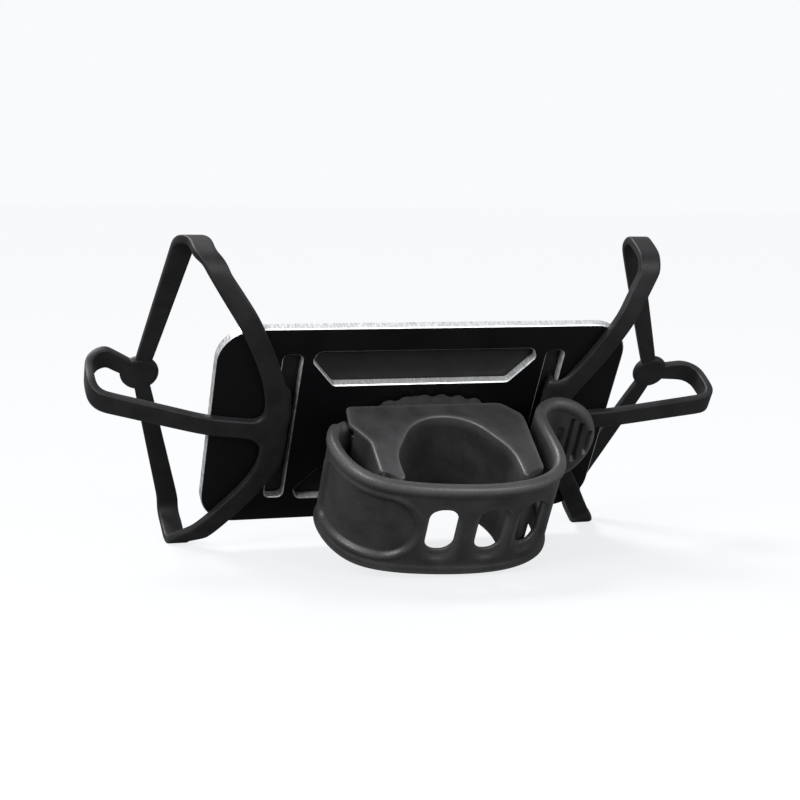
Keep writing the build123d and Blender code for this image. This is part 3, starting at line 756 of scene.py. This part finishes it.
bandSize = {
    "thick": 2.0, "armWidth": 4.9, "edgeWidth": 5.3, "webWidth": 4.8, "nodeNarrowing": 1.2,
    "phone": (-75.5, 80.5, 4.5, 16.1, -38.4, 42.6),
    "phoneRound": 3.5, "slotX": 32.2, "beadHalf": 22.4, "beadWidth": 7.4, "beadTop": (2.45, 4.4),
    "flare": ((0.05, 0.62), (0.11, 0.28), (0.19, 0.06), (0.32, 0), (0.65, 0)),
    "nodeRadius": 4.6, "columns": (-0.5, -0.4, 0.0, 0.4, 0.5), "levels": 2}
bandRoutes = {
    "Left": {"side": -1, "node": (-64.0, 4.5),
             "top": [(-53.5, 42.6, 3.2), (-42.9, 30.0)], "end": [(-50.5, 2.4), (-75.5, 7.8, -1.6)],
             "bottom": [(-48.6, -30.0), (-53.8, -38.4, 0.6)],
             "web": [(-37.6, 18.8), (-35.6, 12.2), (-34.8, 6.2), (-34.9, 3.2), (-34.95, 0.6),
                     (-34.9, -2.0), (-34.8, -5.0), (-35.2, -11.0), (-38.9, -18.2)]},
    "Right": {"side": 1, "node": (69.0, 1.5),
              "top": [(53.3, 42.6, -0.6), (47.4, 30.0)], "end": [(50.5, 1.0), (80.5, 1.2, -0.5)],
              "bottom": [(50.0, -30.0), (55.2, -38.4, -0.6)],
              "web": [(42.4, 19.0), (38.2, 12.0), (35.6, 6.4), (34.95, 3.4), (34.9, 0.6),
                      (34.95, -2.2), (35.6, -5.2), (38.2, -10.6), (43.4, -18.2)]}}


# A band arm from its rim place on the tray to the node: over to the phone's edge, round it in
# a half turn and along its face. It crosses the edge at a slant: the edge place's third number
# is how far it shifts each way. Returns centres, side directions and widths.
def armCourse(edgeWearHighlight, edge, node, size):
    x0, x1, y0, y1, _, z1 = size["phone"]
    half, radius = size["thick"] / 2, size["phoneRound"]
    onEnd = edge[0] in (x0, x1)
    sign = 1 if edge[0] == x1 or edge[1] == z1 else -1
    turn = np.radians([24, 45, 67, 90, 90, 113, 135, 158, 180])
    middle = np.where(np.arange(9) < 4, y0 + radius, y1 - radius)
    y = middle - (radius + half) * np.cos(turn)
    out = sign * ((radius + half) * np.sin(turn) - radius)
    slant = edge[2] * np.cos(turn)
    wrap = np.stack([edge[0] + out, y, edge[1] + slant] if onEnd
                    else [edge[0] + slant, y, edge[1] + out], 1)
    side = np.array([0, 0, 1.0] if onEnd else [1.0, 0, 0])
    start = np.array([edgeWearHighlight[0], -half, edgeWearHighlight[1]])
    finish = np.array([node[0], y1 + half, node[1]])

    def square(a, b):
        run = b - a
        vector = np.array([run[2], 0, -run[0]]) / math.hypot(run[0], run[2])
        return vector if vector @ side > 0 else -vector

    startSide, finishSide = square(start, wrap[0]), square(wrap[-1], finish)
    centers, sides, widths = [start], [startSide], [size["armWidth"]]
    for t in (0.3, 0.65, 0.9):
        centers.append(start * (1 - t) + wrap[0] * t)
        sides.append(startSide * (1 - t) + side * t)
        widths.append(size["armWidth"] * (1 - t) + size["edgeWidth"] * t)
    centers += list(wrap)
    sides += [side] * 9
    widths += [size["edgeWidth"]] * 9
    for t in (0.12, 0.4, 0.7, 1.0):
        centers.append(wrap[-1] * (1 - t) + finish * t)
        sides.append(side * (1 - t) + finishSide * t)
        widths.append(size["edgeWidth"] * (1 - t) + (size["armWidth"] - size["nodeNarrowing"]) * t)
    sides = np.array(sides)
    return np.array(centers), sides / np.linalg.norm(sides, axis=1)[:, None], np.array(widths)


# Rows of points across a course: each row is the centre plus a share of the width sideways.
def crossRows(centers, sides, widths, columns):
    shares = np.array(columns)[None, :, None]
    return centers[:, None, :] + sides[:, None, :] * widths[:, None, None] * shares


# One band as a thin sheet of quads: a strip from the top arm down past the slot to the bottom
# arm, the end arm from the strip's outer side, and a neck from its inner side into the slot.
# Solidify and Subdivision turn the sheet into a rounded moulding.
def buildBand(route, size):
    side, half = route["side"], size["thick"] / 2
    top = armCourse(route["top"][1], route["top"][0], route["node"], size)
    low = armCourse(route["bottom"][0], route["bottom"][1], route["node"], size)
    end = armCourse(route["end"][0], route["end"][1], route["node"], size)
    web = np.array([[x, -half, z] for x, z in route["web"]])
    ends = np.concatenate([top[0][:1], web, low[0][:1]])
    slope = np.gradient(ends, axis=0)[1:-1]
    webSides = np.stack([slope[:, 2], 0 * slope[:, 0], -slope[:, 0]], 1)
    webSides /= np.linalg.norm(webSides, axis=1)[:, None]
    webSides = webSides * np.where(webSides[:, :1] > 0, 1, -1)
    middle = np.abs(np.arange(9) - 4) / 4
    webWidths = size["webWidth"] + (size["armWidth"] - size["webWidth"]) * middle ** 2

    def turned(course):     # sides all point to +x
        flip = np.where(course[1][:, :1] >= 0, 1, -1) if abs(course[1][0, 0]) > 0.01 else 1
        return course[0], course[1] * flip, course[2]

    top, low = turned(top), turned(low)
    centers = np.concatenate([top[0][::-1], web, low[0]])
    sides = np.concatenate([top[1][::-1], webSides, low[1]])
    widths = np.concatenate([top[2][::-1], webWidths, low[2]])
    rows = crossRows(centers, sides, widths, size["columns"])
    count, cols = rows.shape[:2]
    faces = gridFaces(count, cols).tolist()
    points = [rows.reshape(-1, 3)]
    firstWeb = len(top[0])

    # end arm: its first row is the strip's outer border beside the five middle web rows
    outerCol = 0 if side < 0 else cols - 1
    rootRows = np.arange(firstWeb + 2, firstWeb + 7)
    root = rootRows * cols + outerCol
    arm = crossRows(*end, size["columns"])
    if arm[0, 0, 2] < arm[0, -1, 2]:
        arm = arm[:, ::-1]
    rootPoints = rows[rootRows, outerCol]
    rootCenter, armCenter = rootPoints.mean(0), arm[0].mean(0)
    bridge = np.array([rootCenter * (1 - t) + armCenter * t + (rootPoints - rootCenter) * flare
                       + (arm[0] - armCenter) * (1 - flare) for t, flare in size["flare"]])
    arm = np.concatenate([bridge, arm])
    start = count * cols
    armFaces = gridFaces(len(arm), 5) + start
    points.append(arm.reshape(-1, 3))
    first = np.stack([root[:-1], root[1:], start + np.arange(1, 5), start + np.arange(4)], 1)
    faces += armFaces.tolist() + first.tolist()

    # neck: the inner border of the web rows, turned down into the slot
    innerCol = cols - 1 if side < 0 else 0
    neckRows = np.arange(firstWeb + 1, firstWeb + 8)
    border = rows[neckRows, innerCol]
    slot = side * size["slotX"]
    depths = ((-0.75, 0.35), (0.2, 0.85), (1.6, 1.0), (3.0, 1.0))
    base = start + arm.shape[0] * 5
    previous = neckRows * cols + innerCol
    for k, (y, off) in enumerate(depths):
        ring = border.copy()
        ring[:, 0] = slot + side * off
        ring[:, 1] = y
        ring[:, 2] = border[:, 2] * (1.0 if k else 0.98)
        points.append(ring)
        current = base + k * len(neckRows) + np.arange(len(neckRows))
        faces += np.stack([previous[:-1], previous[1:], current[1:], current[:-1]], 1).tolist()
        previous = current
    sheet = np.concatenate(points)
    return sheet, faces, np.zeros(len(sheet))


# A bar along z with a rounded-box section and ends that round off, as rings of points.
def beadPatch(x, size):
    y0, y1 = size["beadTop"]
    halfX, halfY, halfZ = size["beadWidth"] / 2, (y1 - y0) / 2, size["beadHalf"]
    turn = np.linspace(0, 2 * math.pi, 33)
    power = 0.55
    sectionX = halfX * np.sign(np.cos(turn)) * np.abs(np.cos(turn)) ** power
    sectionY = halfY * np.sign(np.sin(turn)) * np.abs(np.sin(turn)) ** power
    fall = np.linspace(0, quarterTurn, 7)
    levels = np.concatenate([-halfZ + halfY * (1 - np.cos(fall)),
                             halfZ - halfY * (1 - np.cos(fall[::-1]))])
    inset = halfY * (1 - np.sin(np.concatenate([fall, fall[::-1]])))
    scaleX = (halfX - inset) / halfX
    scaleY = np.maximum((halfY - inset) / halfY, 0.0)
    px = x + sectionX[None, :] * scaleX[:, None]
    py = (y0 + y1) / 2 + sectionY[None, :] * scaleY[:, None]
    pz = np.repeat(levels[:, None], len(turn), 1)
    return plainPatch(np.stack([px, py, pz], -1))


# The node: a low round button, its section turned about the axis through it.
def nodePatch(node, size):
    y0, y1 = size["phone"][3] - 0.05, size["phone"][3] + size["thick"] + 0.25
    middle, half, radius = (y0 + y1) / 2, (y1 - y0) / 2, size["nodeRadius"]
    turn = np.linspace(-quarterTurn, quarterTurn, 13)
    section = [(0.0, -half)]
    section += [(radius - half + half * math.cos(a), half * math.sin(a)) for a in turn]
    section = np.array(section + [(0.0, half)])
    angle = np.linspace(0, 2 * math.pi, 41)
    r, a = np.meshgrid(section[:, 0], angle, indexing="ij")
    y = np.repeat(middle + section[:, 1][:, None], len(angle), 1)
    return plainPatch(np.stack([node[0] + r * np.cos(a), y, node[1] + r * np.sin(a)], -1))


for label, route in bandRoutes.items():
    band = makePiece(f"siliconeBand{label}", [buildBand(route, bandSize)], bandSilicone)
    solid = band.modifiers.new("thickness", "SOLIDIFY")
    solid.thickness = bandSize["thick"] * 0.001
    solid.offset = 0
    solid.use_even_offset = True
    smooth = band.modifiers.new("rounding", "SUBSURF")
    smooth.levels = smooth.render_levels = bandSize["levels"]
    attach(band, "tray")
    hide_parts(f"band_{label.lower()}")
    knots = makePiece(f"bandBead{label}", [beadPatch(route["side"] * bandSize["slotX"], bandSize),
                                           nodePatch(route["node"], bandSize)],
                      bandSilicone)
    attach(knots, "tray")
print("bands made")


padSize = {"half": (28.3, 26.5), "corner": 3.0, "hole": 7.7, "faces": (2.42, 4.2), "edge": 0.6,
           "ribPitch": 2.2, "ribDepth": 0.28, "plainBorder": 2.4}


# The pad: rings from the screw's hole out to the rounded outline. Its phone side has shallow
# ribs along the tray inside a plain border.
def buildPad(size):
    angle = np.linspace(0, 2 * math.pi, 241)
    ray = np.stack([np.cos(angle), np.sin(angle)])
    reach = 2 * max(size["half"])
    high = reach * leaveBox(*(ray * reach), *size["half"], size["corner"])
    arc = 1 - np.cos(np.linspace(0, quarterTurn, 5))
    share = np.concatenate([[0], np.linspace(0.03, 0.97, 90), [1]])
    radius = size["hole"] + (high - size["hole"]) * share[:, None]
    inner = size["hole"] + size["edge"] * arc
    radius = np.concatenate([np.repeat(inner[:, None], len(angle), 1), radius[2:-2],
                             high[None, :] - size["edge"] * arc[::-1][:, None]])
    x, z = radius * ray[0], radius * ray[1]
    border = np.minimum(-boxDistance(x, z, *size["half"], size["corner"]), radius - size["hole"])
    y0, y1 = size["faces"]
    middle = (y0 + y1) / 2
    lift = edgeRound(border, size["edge"]) * (y1 - y0) / 2
    rib = 0.5 - 0.5 * np.cos(2 * math.pi * z / size["ribPitch"])
    plain = size["plainBorder"]
    rib = size["ribDepth"] * rib * smoothStep(border, plain, plain + 0.8)
    patches = []
    for side in (-1, 1):
        y = middle + side * lift - (rib if side > 0 else 0)
        patches.append(plainPatch(np.stack([x, y, z], -1)))
    return patches


pad = makePiece("gripPadSheet", buildPad(padSize), padRubber)
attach(pad, "tray")
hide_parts("grip_pad")
print("pad made")


studio = {"floorHalf": 12.0, "floorColor": (0.12, 0.121, 0.122),
          "floorGlow": (0.784, 0.797, 0.81), "backdropColor": (0.94, 0.955, 0.97),
          "fillColor": (0.97, 0.98, 1.0), "fillStrength": 0.38,
          "lamps": {"sideLight": ((-0.55, -0.45, 0.45), 0.35, 5.0),
                    "frontLight": ((0.25, -0.8, 0.3), 0.4, 3.6)},
          "aimHeight": 0.04, "sunStrength": 3.2, "sunAngle": 25.0,
          "sunFrom": (-0.35, 0.55, 1.0), "lens": 72.63, "eye": (-117.53, -288.56, 232.74),
          "right": (0.95522418, -0.24902014, 0.15979905),
          "forward": (0.29473546, 0.75329483, -0.58794379)}


# A pale floor that glows a little, so that shadows stay light, and an even backdrop.
def buildStudio(look):
    half = look["floorHalf"]
    mesh = bpy.data.meshes.new("studioFloor")
    mesh.from_pydata([(-half, -half, 0), (half, -half, 0), (half, half, 0), (-half, half, 0)], [],
                     [(0, 1, 2, 3)])
    floor = bpy.data.objects.new("studioFloor", mesh)
    floor.location.z = -0.0001
    bpy.context.scene.collection.objects.link(floor)
    material, nodes, links, shader = startMaterial("paleFloor")
    spot = nodes.new("ShaderNodeTexCoord").outputs["Object"]
    cloud = noiseNode(nodes, links, spot, 3.0, 2.0)
    links.new(mixColor(nodes, links, cloud, look["floorColor"],
                       tuple(v * 0.99 for v in look["floorColor"])), shader.inputs["Base Color"])
    setInputs(shader, {"Roughness": 0.9, "Specular IOR Level": 0.0,
                       "Emission Color": look["floorGlow"] + (1.0,)})
    path = nodes.new("ShaderNodeLightPath")
    links.new(path.outputs["Is Camera Ray"], shader.inputs["Emission Strength"])
    mesh.materials.append(material)
    world = bpy.data.worlds.new("studioWorld")
    world.use_nodes = True
    tree = world.node_tree
    seen = tree.nodes["Background"]
    setInputs(seen, {"Color": look["backdropColor"] + (1.0,)})
    fill = tree.nodes.new("ShaderNodeBackground")
    setInputs(fill, {"Color": look["fillColor"] + (1.0,), "Strength": look["fillStrength"]})
    path = tree.nodes.new("ShaderNodeLightPath")
    mix = tree.nodes.new("ShaderNodeMixShader")
    tree.links.new(path.outputs["Is Camera Ray"], mix.inputs[0])
    tree.links.new(fill.outputs[0], mix.inputs[1])
    tree.links.new(seen.outputs[0], mix.inputs[2])
    tree.links.new(mix.outputs[0], tree.nodes["World Output"].inputs["Surface"])
    bpy.context.scene.world = world
    bpy.context.scene.view_settings.view_transform = "Standard"


# A lamp of the given kind at a place, shining the given way.
def addLamp(name, kind, power, spot, toward):
    light = bpy.data.lights.new(name, kind)
    light.energy = power
    lamp = bpy.data.objects.new(name, light)
    lamp.location = spot
    lamp.rotation_euler = toward.to_track_quat("-Z", "Y").to_euler()
    bpy.context.scene.collection.objects.link(lamp)
    return light


# Square soft lights that face the object, and one wide even light for the floor and the tops.
def addLamps(look):
    sky = addLamp("skyLight", "SUN", look["sunStrength"], (0, 0, 0),
                  Vector([-v for v in look["sunFrom"]]))
    sky.angle = math.radians(look["sunAngle"])
    for name, (spot, size, power) in look["lamps"].items():
        light = addLamp(name, "AREA", power, spot, Vector((0, 0, look["aimHeight"])) - Vector(spot))
        light.shape = "SQUARE"
        light.size = size


# A long lens, placed and turned by the studio's eye, right and forward in the tray's axes.
def addCamera(look):
    eye = Vector(place(look["eye"]))
    right = Vector(np.array(look["right"]) @ trayAxes)
    forward = Vector(np.array(look["forward"]) @ trayAxes)
    up = right.cross(forward)
    camera = bpy.data.objects.new("studioCamera", bpy.data.cameras.new("studioCamera"))
    camera.data.lens = look["lens"]
    camera.data.sensor_width = 36.0
    camera.data.clip_start = 0.01
    camera.matrix_world = Matrix((
        (right.x, up.x, -forward.x, eye.x), (right.y, up.y, -forward.y, eye.y),
        (right.z, up.z, -forward.z, eye.z), (0, 0, 0, 1)))
    bpy.context.scene.collection.objects.link(camera)
    bpy.context.scene.camera = camera


buildStudio(studio)
addLamps(studio)
addCamera(studio)
print("studio made")
